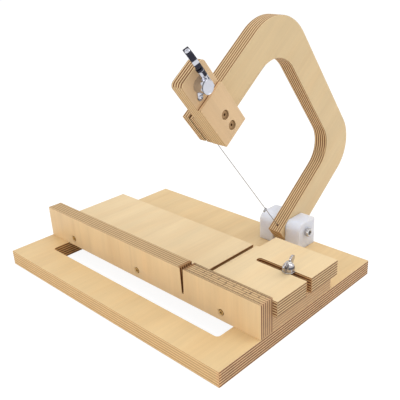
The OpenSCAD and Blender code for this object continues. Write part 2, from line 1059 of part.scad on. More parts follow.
base_board();
left_platform();
right_platform();
fence();
fence_screws();
bed_screws();
stop_plate();
clamp_bolt();
clamp_washer();
wing_nut();
hinge_block_left();
hinge_block_right();
block_screws();
hinge_bolt();
hinge_nut();
arm();
head_board();
head_bolts();
head_washers();
head_nuts();
anchor_pin();
cutting_wire();
wire_barrel();
tuner_housing();
tuner_cover();
tuner_screw();
post_bushing();
string_post();
post_gear();
worm_shaft();
tuner_button();
button_screw();
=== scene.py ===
"""A plywood soap cutter with a hinged wire bow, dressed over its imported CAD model.

Meshes are in metres, in the CAD frame: X along the fence, Y to the rear, Z up. Materials and the outlines of
turned parts are written in millimetres.
"""

import json
import math
import bmesh
import bpy
from bpy.props import FloatProperty, FloatVectorProperty, IntProperty, PointerProperty
from mathutils import Euler, Matrix, Vector


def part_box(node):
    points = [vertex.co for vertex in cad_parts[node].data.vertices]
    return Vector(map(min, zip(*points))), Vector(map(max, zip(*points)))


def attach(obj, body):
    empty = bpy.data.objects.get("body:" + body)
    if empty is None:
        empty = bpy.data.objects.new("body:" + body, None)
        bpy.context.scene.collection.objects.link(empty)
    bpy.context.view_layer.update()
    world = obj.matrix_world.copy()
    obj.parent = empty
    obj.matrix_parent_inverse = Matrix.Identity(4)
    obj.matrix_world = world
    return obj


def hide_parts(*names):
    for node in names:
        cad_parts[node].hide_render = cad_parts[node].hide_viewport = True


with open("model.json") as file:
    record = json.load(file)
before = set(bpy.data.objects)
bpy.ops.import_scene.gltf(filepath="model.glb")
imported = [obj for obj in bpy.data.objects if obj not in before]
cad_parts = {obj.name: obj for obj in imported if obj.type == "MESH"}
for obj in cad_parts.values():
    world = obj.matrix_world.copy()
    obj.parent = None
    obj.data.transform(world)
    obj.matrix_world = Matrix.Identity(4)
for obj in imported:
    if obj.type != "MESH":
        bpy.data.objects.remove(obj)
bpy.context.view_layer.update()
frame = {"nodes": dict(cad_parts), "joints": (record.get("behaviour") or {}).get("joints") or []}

bl_info = {
    "name": "Soap Cutter",
    "version": (1, 0, 0),
    "blender": (4, 5, 0),
    "location": "View3D > Sidebar > Soap Cutter",
    "description": "Builds a plywood soap cutter with a hinged wire bow and a string tuner",
    "category": "Object",
}

MM = 0.001
INCH = 25.4 * MM
STEPS = 48  # points round a turned form
JOINTS = {joint["name"]: joint for joint in frame["joints"]}


# colours and places that the pieces share


def rgb(red, green, blue):
    """A screen colour from 0 to 255 as linear red, green and blue."""
    def linear(value):
        value /= 255
        return value / 12.92 if value <= 0.04045 else ((value + 0.055) / 1.055) ** 2.4
    return (linear(red), linear(green), linear(blue))


WARM_VENEER = rgb(232, 194, 140)

# tints, which multiply a colour
PLAIN = (1, 1, 1)
# painted dark reflection, multiplied into the chrome's colour where it should look dark
PAINTED_DARK_REFLECTION = (0.06, 0.058, 0.075)
# painted shade that darkens the head board's saw slot
PAINTED_SLOT_SHADE = (0.20, 0.13, 0.08)
SHADED_FOOT = (0.30, 0.16, 0.08)
# painted shade in the yellow screws' slopes and recesses
PAINTED_RECESS_SHADE = (0.16, 0.10, 0.06)


def joint_place(name):
    """A point on a joint's axis."""
    return Vector(JOINTS[name]["pos_m"])


def product(colour, tone):
    """Two colours multiplied."""
    return tuple(a * b for a, b in zip(colour, tone))


# the arm's frame has its origin on the hinge and its Z along the worm's axis
HINGE = joint_place("arm_hinge")
WORM_AXIS = Vector(JOINTS["worm_spin"]["axis"]).normalized()
OPEN_ANGLE = math.atan2(-WORM_AXIS.y, WORM_AXIS.z)
TO_ARM = Matrix.Rotation(-OPEN_ANGLE, 4, "X") @ Matrix.Translation(-HINGE)


# settings that a user would change


def colour_setting(name, about, red, green, blue):
    """A setting for a colour, with a screen colour to start from."""
    return FloatVectorProperty(
        name=name, description=about, subtype="COLOR", default=rgb(red, green, blue), min=0, max=1)


def length_setting(name, about, size, least, most):
    """A setting for a length, from millimetres."""
    return FloatProperty(
        name=name, description=about, subtype="DISTANCE", default=size * MM, min=least * MM, max=most * MM)


def angle_setting(name, about, degrees):
    """A setting for an angle, from degrees."""
    return FloatProperty(name=name, description=about, subtype="ANGLE", default=math.radians(degrees))


class WoodSettings(bpy.types.PropertyGroup):
    """Plywood of the bed, the stop plate and the arm."""
    plies: IntProperty(
        name="Pairs of plies", description="Light and dark ply pairs in a board", default=6, min=2, max=12)
    face: colour_setting("Face", "Colour of the face veneer", 243, 217, 172)
    light_ply: colour_setting("Light ply", "Colour of a ply cut along its grain", 243, 211, 158)
    dark_ply: colour_setting("Dark ply", "Colour of a ply cut across its grain", 128, 76, 42)
    eased: length_setting("Eased edges", "Width taken off each board's edges", 0.45, 0.1, 2)


class MetalSettings(bpy.types.PropertyGroup):
    """Chrome of the tuner and steel of the fasteners."""
    chrome: colour_setting("Chrome", "Tint of the tuner's plating", 208, 209, 218)
    steel: colour_setting("Steel", "Tint of the bolts, nuts and washers", 205, 203, 202)
    zinc: colour_setting("Zinc", "Tint of the yellow wood screws", 236, 200, 132)


class PlasticSettings(bpy.types.PropertyGroup):
    """Milky plastic of the hinge blocks."""
    milk: colour_setting("Milky plastic", "Colour of the hinge blocks", 232, 236, 250)
    eased: length_setting("Eased edges", "Width taken off the blocks' edges", 0.7, 0.1, 3)


class RulerSettings(bpy.types.PropertyGroup):
    """Ruler burnt into the fence's top edge."""
    ink: colour_setting("Marks", "Colour of the ruler's marks", 66, 40, 26)
    mark_width: length_setting("Mark width", "Width of one mark", 0.33, 0.1, 1)
    figure: length_setting("Figure height", "Height of the ruler's figures", 2.9, 1, 6)


class StageSettings(bpy.types.PropertyGroup):
    """Camera and sky."""
    eye: FloatVectorProperty(
        name="Camera place", description="Where the camera stands", subtype="TRANSLATION",
        default=(0.4530, -0.4081, 0.3534))
    azimuth: angle_setting("Azimuth", "Camera's turn about Z", 42.47)
    elevation: angle_setting("Elevation", "Camera's tilt above the level", 24.63)
    roll: angle_setting("Roll", "Camera's roll", -1.58)
    lens: FloatProperty(
        name="Lens", description="Focal length in millimetres", default=53.36, min=20, max=200)
    shift: FloatVectorProperty(name="Shift", description="Lens shift", size=2, default=(-0.0850, 0.0230))
    ambient: FloatProperty(
        name="Ambient", description="Strength of the sky on the object", default=0.64, min=0, max=2)


class SoapCutterSettings(bpy.types.PropertyGroup):
    """All settings of the soap cutter."""
    wood: PointerProperty(type=WoodSettings)
    metal: PointerProperty(type=MetalSettings)
    plastic: PointerProperty(type=PlasticSettings)
    ruler: PointerProperty(type=RulerSettings)
    stage: PointerProperty(type=StageSettings)


# node trees


def add_node(tree, kind, settings=None, values=None):
    """A new node, its settings first and then the values or links of its sockets."""
    node = tree.nodes.new(kind)
    for key, value in (settings or {}).items():
        setattr(node, key, value)
    for key, value in (values or {}).items():
        socket = node.inputs[key]
        if isinstance(value, bpy.types.NodeSocket):
            tree.links.new(value, socket)
        elif socket.type == "RGBA" and len(value) == 3:
            socket.default_value = (*value, 1)
        else:
            socket.default_value = value
    return node


class Wire:
    """A socket in a shader's tree. Arithmetic on it adds Math nodes."""

    def __init__(self, shader, socket):
        self.shader = shader
        self.socket = socket

    def __add__(self, other):
        return self.shader.maths("ADD", self, other)

    def __radd__(self, other):
        return self.shader.maths("ADD", other, self)

    def __sub__(self, other):
        return self.shader.maths("SUBTRACT", self, other)

    def __rsub__(self, other):
        return self.shader.maths("SUBTRACT", other, self)

    def __mul__(self, other):
        return self.shader.maths("MULTIPLY", self, other)

    def __rmul__(self, other):
        return self.shader.maths("MULTIPLY", other, self)

    def __abs__(self):
        return self.shader.maths("ABSOLUTE", self)

    def cosine(self):
        return self.shader.maths("COSINE", self)

    def rises(self, low, high):
        """0 below low and 1 above high, with a smooth step between them."""
        limits = {"Value": self, "From Min": low, "From Max": high}
        return self.shader.node("ShaderNodeMapRange", {"interpolation_type": "SMOOTHSTEP"}, limits)["Result"]


class Outputs:
    """A node's outputs, by name or number, each as a Wire."""

    def __init__(self, shader, node):
        self.shader = shader
        self.node = node

    def __getitem__(self, key):
        return Wire(self.shader, self.node.outputs[key])


class Shader:
    """The node tree of a new material or world, written as Python expressions."""

    def __init__(self, owner):
        owner.use_nodes = True
        self.owner = owner
        self.tree = owner.node_tree
        self.tree.nodes.clear()

    def node(self, kind, settings=None, values=None):
        """Adds a node and gives its outputs."""
        sockets = {}
        for key, value in (values or {}).items():
            sockets[key] = value.socket if isinstance(value, Wire) else value
        return Outputs(self, add_node(self.tree, kind, settings, sockets))

    def maths(self, operation, *values):
        """A Math node's result."""
        return self.node("ShaderNodeMath", {"operation": operation}, dict(enumerate(values)))[0]

    def place(self, turn=None, shift=None):
        """Object coordinates in millimetres, turned and shifted if asked."""
        values = {"Vector": self.node("ShaderNodeTexCoord")["Object"], "Scale": (1 / MM, 1 / MM, 1 / MM)}
        if turn is not None:
            values["Rotation"] = turn
            values["Location"] = shift
        return self.node("ShaderNodeMapping", {"vector_type": "POINT"}, values)["Vector"]

    def facing(self):
        """The surface's normal in Object coordinates."""
        return self.node("ShaderNodeTexCoord")["Normal"]

    def axes(self, vector):
        """A vector's three parts."""
        parts = self.node("ShaderNodeSeparateXYZ", None, {0: vector})
        return parts[0], parts[1], parts[2]

    def joined(self, x, y, z):
        """A vector made of three parts."""
        return self.node("ShaderNodeCombineXYZ", None, {0: x, 1: y, 2: z})[0]

    def noise(self, vector, scale=1.0, detail=3.0, roughness=0.5):
        """Smooth noise from 0 to 1."""
        values = {"Vector": vector, "Scale": scale, "Detail": detail, "Roughness": roughness}
        return self.node("ShaderNodeTexNoise", None, values)["Fac"]

    def blended(self, way, share, first, second):
        """Two colours put together by a Mix node."""
        settings = {"data_type": "RGBA", "blend_type": way}
        return self.node("ShaderNodeMix", settings, {0: share, 6: first, 7: second})[2]

    def mixed(self, share, first, second):
        """A colour between two colours."""
        return self.blended("MIX", share, first, second)

    def tinted(self, share, colour, tone):
        """A colour multiplied by a tone, by a share."""
        return self.blended("MULTIPLY", share, colour, tone)

    def shaded(self, colour, share):
        """A colour made darker or lighter by a share."""
        return self.tinted(1.0, colour, self.joined(share, share, share))

    def bump(self, height, distance, strength):
        """A normal from a height, with the distance in metres."""
        values = {"Height": height, "Distance": distance, "Strength": strength}
        return self.node("ShaderNodeBump", None, values)["Normal"]

    def finish(self, **values):
        """Ends a material's tree in a Principled shader."""
        named = {key.replace("_", " "): value for key, value in values.items()}
        surface = self.node("ShaderNodeBsdfPrincipled", None, named)["BSDF"]
        self.node("ShaderNodeOutputMaterial", None, {"Surface": surface})
        return self.owner


class Growth:
    """A Geometry Nodes tree with named inputs."""

    def __init__(self, name, inputs):
        self.tree = bpy.data.node_groups.new(name, "GeometryNodeTree")
        self.tree.interface.new_socket("Geometry", in_out="INPUT", socket_type="NodeSocketGeometry")
        self.values = {}
        for label, (kind, value) in inputs.items():
            socket = self.tree.interface.new_socket(label, in_out="INPUT", socket_type=kind)
            self.values[socket.identifier] = value
        self.tree.interface.new_socket("Geometry", in_out="OUTPUT", socket_type="NodeSocketGeometry")
        self.source = self.tree.nodes.new("NodeGroupInput")
        self.drain = self.tree.nodes.new("NodeGroupOutput")

    def given(self, label):
        """One of the tree's inputs."""
        return self.source.outputs[label]

    def node(self, kind, settings=None, values=None, output=0):
        """Adds a node and gives one of its outputs."""
        return add_node(self.tree, kind, settings, values).outputs[output]

    def maths(self, operation, *values):
        """A Math node's result."""
        return self.node("ShaderNodeMath", {"operation": operation}, dict(enumerate(values)))

    def joined(self, **parts):
        """A vector from the parts that are given."""
        return self.node("ShaderNodeCombineXYZ", None, {name.upper(): value for name, value in parts.items()})

    def form_of(self, label):
        """The geometry of an object that is one of the tree's inputs."""
        return self.node("GeometryNodeObjectInfo", None, {"Object": self.given(label)}, "Geometry")

    def grown(self, piece, geometry, material):
        """Ends the tree, runs it on a piece and returns the plain mesh."""
        real = self.node("GeometryNodeRealizeInstances", None, {0: geometry})
        finish = self.node("GeometryNodeSetMaterial", None, {0: real, "Material": material})
        self.tree.links.new(finish, self.drain.inputs[0])
        growth = piece.modifiers.new(self.tree.name, "NODES")
        growth.node_group = self.tree
        for identifier, value in self.values.items():
            growth[identifier] = value
        return flattened(piece, piece.name)


# finishes


def span(value, least, most, soft=0.25):
    """1 where a value is between two others."""
    return value.rises(least - soft, least + soft) * (1 - value.rises(most - soft, most + soft))


class Plywood:
    """Birch plywood of one board.

    across is the axis through the plies, low and thick are the board's place and thickness along it in
    millimetres, and grain is the axis of the face veneer. A board of the arm is measured in the arm's frame.
    """

    def __init__(self, name, across, low, thick, grain, tint, in_arm=False):
        self.wood = bpy.context.scene.soap_cutter.wood
        self.shader = shader = Shader(bpy.data.materials.new(name))
        self.tint = tint
        turn = shift = None
        normal = shader.facing()
        if in_arm:
            turn = (-OPEN_ANGLE, 0, 0)
            shift = TO_ARM.translation / MM
            turned = {"Vector": normal, "Rotation": turn}
            normal = shader.node("ShaderNodeMapping", {"vector_type": "NORMAL"}, turned)["Vector"]
        self.point = shader.place(turn, shift)
        self.parts = dict(zip("XYZ", shader.axes(self.point)))
        facing = dict(zip("XYZ", shader.axes(normal)))
        side = next(letter for letter in "XYZ" if letter not in (across, grain))
        self.along, self.over, self.through = self.parts[grain], self.parts[side], self.parts[across]
        self.depth = (self.through - low) * (1.0 / thick)
        self.cuts_grain = abs(facing[grain]).rises(0.35, 0.65)
        self.on_face = abs(facing[across]).rises(0.60, 0.84)

    def stretched(self, along, over, through, detail, roughness=0.5):
        """Noise with so many waves in a millimetre along the grain, over the face and through the plies."""
        point = self.shader.joined(self.along * along, self.over * over, self.through * through)
        return self.shader.noise(point, 1.0, detail, roughness)

    def face(self, streaks, fibres):
        """Face veneer: long soft streaks, fine fibres, broad clouds, a few short flecks and warm areas."""
        drift = self.stretched(0.012, 0.03, 0.02, 2.0)
        bands = ((self.over * 0.16 + drift * 9.0).cosine() + 1) * 0.5
        flecks = self.stretched(0.16, 1.3, 0.5, 2.0).rises(0.66, 0.74)
        shade = 0.94 + (streaks - 0.5) * 0.16 + (fibres - 0.5) * 0.07 + (drift - 0.5) * 0.14
        shade = shade + bands * 0.035 - flecks * 0.045
        warm = self.stretched(0.006, 0.05, 0.02, 3.0).rises(0.42, 0.68)
        pale_veneer = self.shader.shaded(product(self.wood.face, self.tint), shade)
        warm_veneer = self.shader.shaded(product(WARM_VENEER, self.tint), shade)
        return self.shader.mixed(warm * 0.22, pale_veneer, warm_veneer)

    def edges(self, end_grain, wave, pores, edge):
        """Ply edges: plies cut along and across their grain by turns, with dark glue lines."""
        shader = self.shader
        contrast = self.cuts_grain * edge[0] + (1 - self.cuts_grain) * edge[1]
        runs = self.stretched(0.06, 0.06, 3.2, 3.0, 0.6)
        patches = shader.noise(self.point, 0.09, 3.0)
        dark = shader.shaded(self.wood.dark_ply, 0.80 + pores * 0.30 + (patches - 0.5) * 0.7)
        light = shader.shaded(self.wood.light_ply, 0.86 + (runs - 0.5) * 0.34 + (patches - 0.5) * 0.16)
        plain = shader.mixed(0.28, tuple(self.wood.light_ply), tuple(self.wood.dark_ply))
        plain = shader.shaded(plain, 0.9 + (runs - 0.5) * 0.5 + (pores - 0.5) * 0.2)
        colour = shader.mixed(contrast, plain, shader.mixed(end_grain, light, dark))
        glue = (1 - abs(wave - 0.5) * 2).rises(0.55, 0.95)
        return shader.shaded(colour, 1 - glue * 0.30 * contrast)

    def within(self, corner, far_corner):
        """1 inside a box, from its corners in millimetres."""
        return math.prod(span(self.parts[letter], *ends) for letter, *ends in zip("XYZ", corner, far_corner))

    def finish(self, edge, edge_tints_and_painted_shade, painted_shade_boxes=()):
        """The material.

        edge is the contrast of the plies on the edges that cut the face grain and on those along it. browned
        has boxes, each with its corners and a tint for the edge walls in it, or None where these are as plain
        as the face; the tints in slots, gaps and recesses and at a step's foot are painted shade, and the
        others give an edge its own tone. sooty has the boxes in which everything is darkened by painted
        shade.
        """
        shader = self.shader
        streaks = self.stretched(0.010, 0.22, 0.1, 5.0, 0.62)
        fibres = self.stretched(0.05, 2.1, 0.3, 3.0, 0.6)
        pores = shader.noise(self.point, 1.9, 3.0, 0.7)
        wander = (shader.noise(self.point, 0.045, 2.0) - 0.5) * 0.014
        wave = ((self.depth + wander) * (2 * math.pi * self.wood.plies)).cosine() * 0.5 + 0.5
        outer = wave.rises(0.38, 0.60)
        end_grain = outer * self.cuts_grain + (1 - outer) * (1 - self.cuts_grain)
        face = self.face(streaks, fibres)
        edges = self.edges(end_grain, wave, pores, edge)
        # tints of the edge walls in boxes: painted shade in slots, gaps and recesses, or an edge's own tone
        for corner, far_corner, tone in edge_tints_and_painted_shade:
            inside = self.within(corner, far_corner)
            edges = shader.tinted(inside, edges, tone) if tone else shader.mixed(inside, edges, face)
        colour = shader.mixed(self.on_face, edges, face)
        # painted shade that darkens everything in these boxes
        for corner, far_corner in painted_shade_boxes:
            colour = shader.tinted(self.within(corner, far_corner), colour, PAINTED_SLOT_SHADE)
        on_edge = 1 - self.on_face
        rough = 0.50 + (fibres - 0.5) * 0.16 + on_edge * 0.16
        height = self.on_face * (fibres * 0.6 + streaks * 0.4) + on_edge * (pores * 0.7 + end_grain * 0.9)
        normal = shader.bump(height, 0.05 * MM, 0.55)
        return shader.finish(Base_Color=colour, Roughness=rough, Normal=normal, IOR=1.45)


def chrome(name, tint=None, rough=0.07, dark=None):
    """Bright plating with faint smears.

    dark gives the share of painted dark reflection, from the distance along the worm's axis in millimetres
    and the normal's three parts.
    """
    shader = Shader(bpy.data.materials.new(name))
    point = shader.place()
    smears = shader.noise(point, 0.35, 4.0, 0.6)
    specks = shader.noise(point, 3.0, 2.0)
    tint = tint or tuple(bpy.context.scene.soap_cutter.metal.chrome)
    colour = shader.shaded(tint, 0.93 + (smears - 0.5) * 0.18)
    if dark:
        x, y, z = shader.axes(point)
        along = y * WORM_AXIS.y + z * WORM_AXIS.z - WORM_AXIS.dot(joint_place("worm_spin")) / MM
        # painted dark reflection, by the share that dark gives
        colour = shader.tinted(dark(along, shader.axes(shader.facing())), colour, PAINTED_DARK_REFLECTION)
    normal = shader.bump(smears * 0.7 + specks * 0.3, 0.01 * MM, 0.25)
    return shader.finish(Base_Color=colour, Metallic=1.0, Roughness=rough + smears * 0.05, Normal=normal)


def steel(name, rough, tint=None, painted_shade_on_slopes=False):
    """Turned and plated steel with fine tool marks, with painted shade in its slopes and recesses if asked.
    """
    shader = Shader(bpy.data.materials.new(name))
    point = shader.place()
    clouds = shader.noise(point, 0.5, 3.0)
    marks = shader.noise(point, 3.6, 3.0, 0.7)
    tint = tint or tuple(bpy.context.scene.soap_cutter.metal.steel)
    colour = shader.shaded(tint, 0.88 + (clouds - 0.5) * 0.3 + (marks - 0.5) * 0.14)
    if painted_shade_on_slopes:
        # painted shade: darker where the normal leans away from all three axes, as in slopes and recesses
        x, y, z = shader.axes(shader.facing())
        flat = shader.maths("MAXIMUM", shader.maths("MAXIMUM", abs(x), abs(y)), abs(z))
        colour = shader.tinted(1 - flat.rises(0.80, 0.97), colour, PAINTED_RECESS_SHADE)
    normal = shader.bump(marks, 0.02 * MM, 0.5)
    return shader.finish(Base_Color=colour, Metallic=1.0, Roughness=rough + clouds * 0.16, Normal=normal)


def milky_plastic(name):
    """Milky, slightly see-through plastic with faint saw marks."""
    shader = Shader(bpy.data.materials.new(name))
    point = shader.place()
    x, y, z = shader.axes(point)
    clouds = shader.noise(point, 0.11, 3.0)
    saw = shader.noise(shader.joined(x * 0.12, y * 0.12, z * 2.4), 1.0, 3.0, 0.6)
    milk = tuple(bpy.context.scene.soap_cutter.plastic.milk)
    colour = shader.shaded(milk, 0.95 + (clouds - 0.5) * 0.10 + (saw - 0.5) * 0.05)
    normal = shader.bump(saw, 0.03 * MM, 0.35)
    return shader.finish(
        Base_Color=colour, Roughness=0.36 + clouds * 0.14, IOR=1.5, Normal=normal,
        Subsurface_Weight=0.6, Subsurface_Radius=(0.8, 0.85, 0.95), Subsurface_Scale=0.014)


def ink(name):
    """Burnt marks, darker in some places than in others."""
    shader = Shader(bpy.data.materials.new(name))
    patches = shader.noise(shader.place(), 0.7, 3.0)
    colour = shader.shaded(tuple(bpy.context.scene.soap_cutter.ruler.ink), 0.7 + patches * 0.7)
    return shader.finish(Base_Color=colour, Roughness=0.75)


# mesh helpers


def as_object(name, data):
    """A new object in the scene, for a mesh, curve, camera or lamp."""
    piece = bpy.data.objects.new(name, data)
    bpy.context.scene.collection.objects.link(piece)
    return piece


def as_mesh(form, name):
    """A mesh from a bmesh, which is freed."""
    mesh = bpy.data.meshes.new(name)
    form.to_mesh(mesh)
    form.free()
    return mesh


def flattened(piece, name):
    """The piece's mesh with its modifiers applied. The piece itself is removed."""
    graph = bpy.context.evaluated_depsgraph_get()
    shape = piece.evaluated_get(graph)
    mesh = bpy.data.meshes.new_from_object(shape, preserve_all_data_layers=True, depsgraph=graph)
    mesh.name = name
    bpy.data.objects.remove(piece)
    return mesh


def joined_copy(node):
    """A CAD node's mesh as a closed bmesh, with its loose triangles merged into flat faces."""
    form = bmesh.new()
    form.from_mesh(frame["nodes"][node].data)
    bmesh.ops.remove_doubles(form, verts=form.verts, dist=1e-6)
    bmesh.ops.dissolve_limit(form, angle_limit=math.radians(0.5), verts=form.verts, edges=form.edges)
    return form


def smooth(mesh, angle=32):
    """Smooth shading, with edges sharper than the angle kept."""
    mesh.shade_smooth()
    mesh.set_sharp_from_angle(angle=math.radians(angle))


def eased(mesh, width, segments, angle=50):
    """A mesh with its sharp edges rounded."""
    smooth(mesh)
    piece = as_object(mesh.name, mesh)
    ease = piece.modifiers.new("Eased edges", "BEVEL")
    ease.width = width
    ease.segments = segments
    ease.limit_method = "ANGLE"
    ease.angle_limit = math.radians(angle)
    ease.use_clamp_overlap = False
    ease.harden_normals = True
    return flattened(piece, mesh.name)


def add_piece(name, mesh, material, body, stands_for=()):
    """A finished piece that moves with a body and stands for CAD nodes."""
    mesh.materials.clear()
    mesh.materials.append(material)
    piece = as_object(name, mesh)
    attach(piece, body)
    if stands_for:
        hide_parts(*stands_for)
    return piece


def eased_node(node, material, body, width=0.0, segments=2):
    """A CAD node's own form with smooth curves and rounded edges, in its place."""
    mesh = as_mesh(joined_copy(node), node + "_form")
    if width:
        mesh = eased(mesh, width, segments)
    else:
        smooth(mesh)
    return add_piece(node + "_eased", mesh, material, body, (node,))


def solids(node):
    """The boxes of a CAD node's separate solids, as lowest and highest corners."""
    form = joined_copy(node)
    left = set(form.verts)
    boxes = []
    while left:
        found, group = [left.pop()], []
        while found:
            vert = found.pop()
            group.append(vert.co.copy())
            for edge in vert.link_edges:
                other = edge.other_vert(vert)
                if other in left:
                    left.remove(other)
                    found.append(other)
        boxes.append(tuple(Vector(pick(p[i] for p in group) for i in range(3)) for pick in (min, max)))
    form.free()
    return sorted(boxes, key=lambda box: tuple(box[0]))


def faces_of(node, axis, at_high):
    """The middle of the end face of each of a node's solids, along an axis."""
    middles = []
    for low, high in solids(node):
        middle = (low + high) / 2
        middle[axis] = high[axis] if at_high else low[axis]
        middles.append(middle)
    return middles


def points_mesh(name, points):
    """A mesh of loose points."""
    mesh = bpy.data.meshes.new(name)
    mesh.from_pydata([tuple(point) for point in points], [], [])
    return mesh


def repeated(name, pattern, points, material):
    """Copies of a pattern mesh at points, as one mesh."""
    model = as_object(name + "_pattern", pattern)
    growth = Growth(name, {"Pattern": ("NodeSocketObject", model)})
    values = {"Points": growth.given("Geometry"), "Instance": growth.form_of("Pattern")}
    copies = growth.node("GeometryNodeInstanceOnPoints", None, values)
    mesh = growth.grown(as_object(name, points_mesh(name, points)), copies, material)
    bpy.data.objects.remove(model)
    return mesh


# outlines of turned parts, in millimetres


def hexagon(across):
    """Radii of a hexagon that is so wide across its flats."""
    turns = (2 * math.pi * i / STEPS for i in range(STEPS))
    return [across / 2 / math.cos(turn % (math.pi / 3) - math.pi / 6) for turn in turns]


def cross(wide, narrow):
    """Radii of a cross-shaped driver recess."""
    waves = (0.5 + 0.5 * math.cos(8 * math.pi * i / STEPS) for i in range(STEPS))
    return [narrow + (wide - narrow) * wave ** 3 for wave in waves]


def lofted(name, rings, axis, start=(0, 0, 0)):
    """A closed form of rings round an axis, from (distance, radius or radii) pairs in millimetres."""
    form = bmesh.new()
    side = axis.orthogonal().normalized()
    over = axis.cross(side)
    loops = []
    for along, radii in rings:
        radii = radii if isinstance(radii, list) else [radii] * STEPS
        loop = []
        for i, radius in enumerate(radii):
            angle = 2 * math.pi * i / STEPS
            out = side * math.cos(angle) + over * math.sin(angle)
            loop.append(form.verts.new(Vector(start) + (axis * along + out * radius) * MM))
        loops.append(loop)
    for low, high in zip(loops, loops[1:]):
        for i in range(STEPS):
            form.faces.new((low[i], low[i - 1], high[i - 1], high[i]))
    for loop in (loops[0], loops[-1]):
        form.faces.new(loop)
    bmesh.ops.recalc_face_normals(form, faces=form.faces)
    mesh = as_mesh(form, name)
    smooth(mesh, 28)
    return mesh


def wood_screw(name, length, axis):
    """A countersunk wood screw with a cross recess, its face at the origin."""
    thread_start, thread_end, tip_start = length * 0.34, length - 3.6, length - 2.6
    recess = [(1.7, cross(0.8, 0.35)), (0.3, cross(2.0, 0.75)), (0, cross(2.3, 0.95))]
    head = [(0, 2.7), (0.7, 3.5), (0.8, 3.9), (2.5, 2.0)]
    rings = recess + head + [(thread_start, 1.95)]
    turn = thread_start + 0.4
    while turn < thread_end:
        rings += [(turn, 1.4), (turn + 0.75, 1.42), (turn + 0.95, 1.98), (turn + 1.15, 1.42)]
        turn += 1.6
    tip = [(tip_start, 1.3), (length - 0.05, 0.12)]
    return lofted(name, rings + tip, axis)


def cap_bolt(name, length, head, tall, shank, socket, axis):
    """A bolt with a round head and a hexagon socket, its face at the origin. head and shank are radii."""
    recess = [(tall * 0.6, hexagon(socket * 0.96)), (0.3, hexagon(socket)), (0.02, hexagon(socket * 1.12))]
    crown = [(0, head * 0.80), (0.14, head * 0.91), (0.45, head * 0.98), (0.8, head)]
    skirt = [(tall - 0.2, head), (tall, head * 0.96)]
    rod = [(tall, shank), (length - 0.7, shank), (length, shank * 0.8)]
    return lofted(name, recess + crown + skirt + rod, axis)


def wing_hub(start):
    """The wing nut's domed hub."""
    skirt = [(0, 5.4), (0.35, 6.2), (2.5, 6.4), (4.8, 6.0)]
    dome = [(6.6, 5.0), (7.8, 3.7), (8.4, 2.8), (8.4, 2.6)]
    return lofted("wing_hub", skirt + dome, Vector((0, 0, 1)), start)


def cover_disc(deep, radius, start):
    """The tuner's cover: a foot inside the housing, and a disc with a rounded rim and a sunk face."""
    foot = [(0, radius - 1.6), (deep - 1.4, radius - 1.6)]
    rim = [(deep - 1.4, radius - 0.1), (deep - 0.9, radius), (deep - 0.35, radius)]
    lip = [(deep - 0.1, radius - 0.2), (deep, radius - 0.5), (deep, radius - 0.75)]
    face = [(deep - 0.22, radius - 1.0), (deep - 0.18, radius - 2.5), (deep - 0.1, radius * 0.3)]
    middle = [(deep - 0.08, 0.2)]
    return lofted("tuner_cover_disc", foot + rim + lip + face + middle, Vector((1, 0, 0)), start)


# operators, one for each group of like pieces and one for the stage


class SOAPCUTTER_OT_boards(bpy.types.Operator):
    """Base board, platforms, fence and stop plate"""
    bl_idname = "soap_cutter.boards"
    bl_label = "Boards"

    # boxes in millimetres, each with the tint that the ply edges in it take: painted shade on the walls of
    # the window, the wire gap and the stop slot, and the edges' own tone at the front edge and the right ends
    WINDOW = ((-140, -95, -1), (140, -38, 18), (0.96, 0.84, 0.60))
    WIRE_GAP = ((62, -70, 5), (73, 52, 60), (0.66, 0.50, 0.36))
    STOP_SLOT = ((105, -5, 34), (180, 5, 55), (0.98, 0.82, 0.66))
    FRONT_EDGE = ((-172, -126, -1), (172, -121, 19), (1.18, 1.12, 1.0))
    RIGHT_ENDS = ((167, -127, -1), (172, 127, 56), (1.0, 0.93, 0.95))

    # body, axis through the plies, axis of the face grain, tint, contrast of the edges, tinted boxes
    BOARDS = {
        "base_board": ("bed", "Z", "Y", rgb(250, 244, 232), (0.38, 0.95), (WINDOW, FRONT_EDGE, RIGHT_ENDS)),
        "left_platform": ("bed", "Z", "Y", PLAIN, (1.0, 0.55), (WIRE_GAP,)),
        "right_platform": ("bed", "Z", "X", PLAIN, (0.35, 0.6), (WIRE_GAP, RIGHT_ENDS)),
        "fence": ("bed", "Y", "Z", rgb(252, 244, 236), (0.55, 1.0), (WIRE_GAP, RIGHT_ENDS)),
        "stop_plate": ("stop", "Z", "Y", PLAIN, (1.0, 0.9), (STOP_SLOT,)),
    }

    def execute(self, context):
        eased_width = context.scene.soap_cutter.wood.eased
        for node, (body, across, grain, tint, edge, tinted_boxes) in self.BOARDS.items():
            low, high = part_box(node)
            axis = "XYZ".index(across)
            place, thick = low[axis] / MM, (high[axis] - low[axis]) / MM
            wood = Plywood(node + "_ply", across, place, thick, grain, tint)
            finish = wood.finish(edge, tinted_boxes)
            eased_node(node, finish, body, eased_width)
        return {"FINISHED"}


